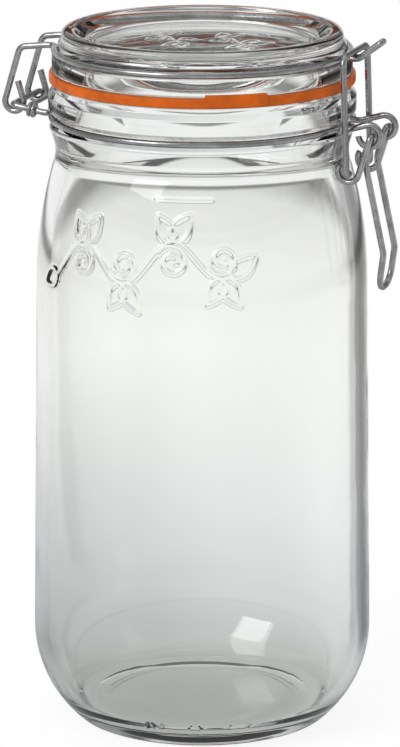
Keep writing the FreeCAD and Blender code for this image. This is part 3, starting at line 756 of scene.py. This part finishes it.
def plain_marks():
    """The raised fill line and the mould's ticks, as (across, up) strokes."""
    line = [(across, FILL_LINE_HEIGHT)
            for across in range(FILL_LINE_LEFT, FILL_LINE_RIGHT + 1)]
    return [line] + [
        [(across + lean * step / 4, TICK_FOOT + step * TICK_STEP) for step in range(5)]
        for across, lean in MOULD_TICKS]


def on_wall(strokes, facing):
    """Lays (across, up) strokes in millimetres on the jar's outer wall."""
    laid = []
    for stroke in strokes:
        line = []
        for across, up in stroke:
            radius = wall_radius(up)
            angle = facing + across / SPRIG_RADIUS
            line.append((radius * math.cos(angle) * MM, radius * math.sin(angle) * MM, up * MM))
        laid.append(line)
    return laid


def on_panel(strokes):
    """Lays the strokes, made smaller, on the lid's flat panel."""
    return [[(PANEL_ACROSS * across * MM, PANEL_UP * (up - SPRIG_MIDDLE) * MM, PANEL_HEIGHT * MM)
             for across, up in stroke] for stroke in strokes]


class PRESERVING_JAR_OT_glass_body(bpy.types.Operator):
    """Makes the glass body with its raised fill line and sprig"""

    bl_idname = "preserving_jar.glass_body"
    bl_label = "Glass Body"
    bl_options = {"REGISTER", "UNDO"}

    def execute(self, context):
        settings = context.scene.jar_glass
        foot, _, neck = jar_outer()
        wall = divided([foot[-1], (wall_radius(FINE_FROM), FINE_FROM)], WALL_EDGE)[1:]
        fine = wall_rows(FINE_FROM, FINE_TO, FINE_ROW)[1:]
        heel = [point for point in foot[2:] if not TICKS_FROM < point[1] < TICKS_TO]
        heel += wall_rows(TICKS_FROM, TICKS_TO, TICKS_ROW)
        heel.sort(key=lambda point: point[1] + 0.001 * point[0])  # up, then outwards
        outline = divided(foot[:2], FLAT_EDGE) + heel + wall + fine
        outline += neck + jar_inner(settings.wall / MM)[:-1]
        floor = divided([outline[-1], (0, FLOOR_HEIGHT)], FLAT_EDGE)[1:]
        outline = divided(outline, LONGEST_EDGE) + floor
        facing, fine_arc = settings.relief_facing, settings.relief_spread
        body = turned_piece("glass_body", outline, facing + fine_arc / 2, [
            (fine_arc, FINE_TURN), (2 * math.pi - fine_arc, PLAIN_TURN)])
        raise_relief(body, on_wall(sprig(), facing),
                     settings.relief_width, settings.relief_height)
        raise_relief(body, on_wall(plain_marks(), facing),
                     settings.relief_width * MARK_WIDTH, settings.relief_height * MARK_HEIGHT)
        body.data.materials.append(clear_glass("clear_glass_body", settings, wave_depth=0.00012))
        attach(body, "jar")
        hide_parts("jar_glass")
        return {"FINISHED"}


class PRESERVING_JAR_OT_glass_lid(bpy.types.Operator):
    """Makes the glass lid with its dished panel"""

    bl_idname = "preserving_jar.glass_lid"
    bl_label = "Glass Lid"
    bl_options = {"REGISTER", "UNDO"}

    def execute(self, context):
        settings = context.scene.jar_glass
        rib = [(36.5, PANEL_HEIGHT)] + curved(
            (36.5, PANEL_HEIGHT), (34.5, PANEL_HEIGHT), 1.25, 6)
        outside = eased([
            (38.5, 221.74, 0.8), (38.5, 215.34, 0.5), (41.9, 215.34, 0.8), (41.9, 216.94, 0),
            (48.8, 216.94, 0.8), (48.8, 222.84, 0.8), (46.8, 222.84, 0), (46.8, 226.04, 0.8),
            (45.7, 228.24, 0), (45.7, 230.74, 1.7), (41.7, 230.74, 1.7),
            (38.1, PANEL_HEIGHT, 0.8)])
        outline = divided([(0, 221.74), outside[0]], LID_EDGE)[:-1] + outside + rib
        outline += divided([(34.5, PANEL_HEIGHT), (0, PANEL_HEIGHT)], PANEL_EDGE)
        lid = turned_piece("pressed_lid", divided(outline, LID_EDGE), 0,
                           [(2 * math.pi, LID_TURN)])
        raise_relief(lid, on_panel(sprig()), settings.relief_width * LID_RELIEF_WIDTH,
                     settings.relief_height * LID_RELIEF_HEIGHT)
        lid.data.materials.append(clear_glass("clear_glass_lid", settings, wave_depth=0.00006))
        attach(lid, "lid")
        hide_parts("glass_lid")
        return {"FINISHED"}


# ----------------------------------------------------------------- seal and wire


class PRESERVING_JAR_OT_seal(bpy.types.Operator):
    """Finishes the rubber seal"""

    bl_idname = "preserving_jar.seal"
    bl_label = "Seal"
    bl_options = {"REGISTER", "UNDO"}

    def execute(self, context):
        frame["nodes"]["rubber_seal"].material_slots[0].material = seal_rubber(
            context.scene.jar_trim)
        return {"FINISHED"}


class PRESERVING_JAR_OT_wire(bpy.types.Operator):
    """Finishes the rings, the link, the lever and the hinge's tie"""

    bl_idname = "preserving_jar.wire"
    bl_label = "Wire"
    bl_options = {"REGISTER", "UNDO"}

    def execute(self, context):
        plate = zinc_wire(context.scene.jar_trim)
        for node in ("neck_ring", "lid_ring", "link", "lever", "hinge_tie"):
            frame["nodes"][node].material_slots[0].material = plate
        return {"FINISHED"}


class PRESERVING_JAR_PT_panel(bpy.types.Panel):
    """Lists the jar's pieces"""

    bl_idname = "PRESERVING_JAR_PT_panel"
    bl_label = "Preserving Jar"
    bl_space_type = "VIEW_3D"
    bl_region_type = "UI"
    bl_category = "Jar"

    def draw(self, context):
        for settings in (context.scene.jar_glass, context.scene.jar_trim,
                         context.scene.jar_stage):
            box = self.layout.box()
            for name in settings.__annotations__:
                box.prop(settings, name)
        for operator in OPERATORS:
            self.layout.operator(operator.bl_idname)


OPERATORS = (
    PRESERVING_JAR_OT_stage,
    PRESERVING_JAR_OT_glass_body,
    PRESERVING_JAR_OT_glass_lid,
    PRESERVING_JAR_OT_seal,
    PRESERVING_JAR_OT_wire,
)
GROUPS = {"jar_glass": GlassSettings, "jar_trim": TrimSettings, "jar_stage": StageSettings}


def register():
    """Registers the settings, the operators and the panel."""
    for name, group in GROUPS.items():
        bpy.utils.register_class(group)
        setattr(bpy.types.Scene, name, PointerProperty(type=group))
    for operator in OPERATORS:
        bpy.utils.register_class(operator)
    bpy.utils.register_class(PRESERVING_JAR_PT_panel)


def unregister():
    """Takes the panel, the operators and the settings out again."""
    bpy.utils.unregister_class(PRESERVING_JAR_PT_panel)
    for operator in reversed(OPERATORS):
        bpy.utils.unregister_class(operator)
    for name, group in reversed(GROUPS.items()):
        delattr(bpy.types.Scene, name)
        bpy.utils.unregister_class(group)


def main():
    """Makes the whole jar on its stage."""
    register()
    bpy.ops.preserving_jar.stage()
    bpy.ops.preserving_jar.glass_body()
    bpy.ops.preserving_jar.glass_lid()
    bpy.ops.preserving_jar.seal()
    bpy.ops.preserving_jar.wire()


if __name__ == "__main__":
    main()
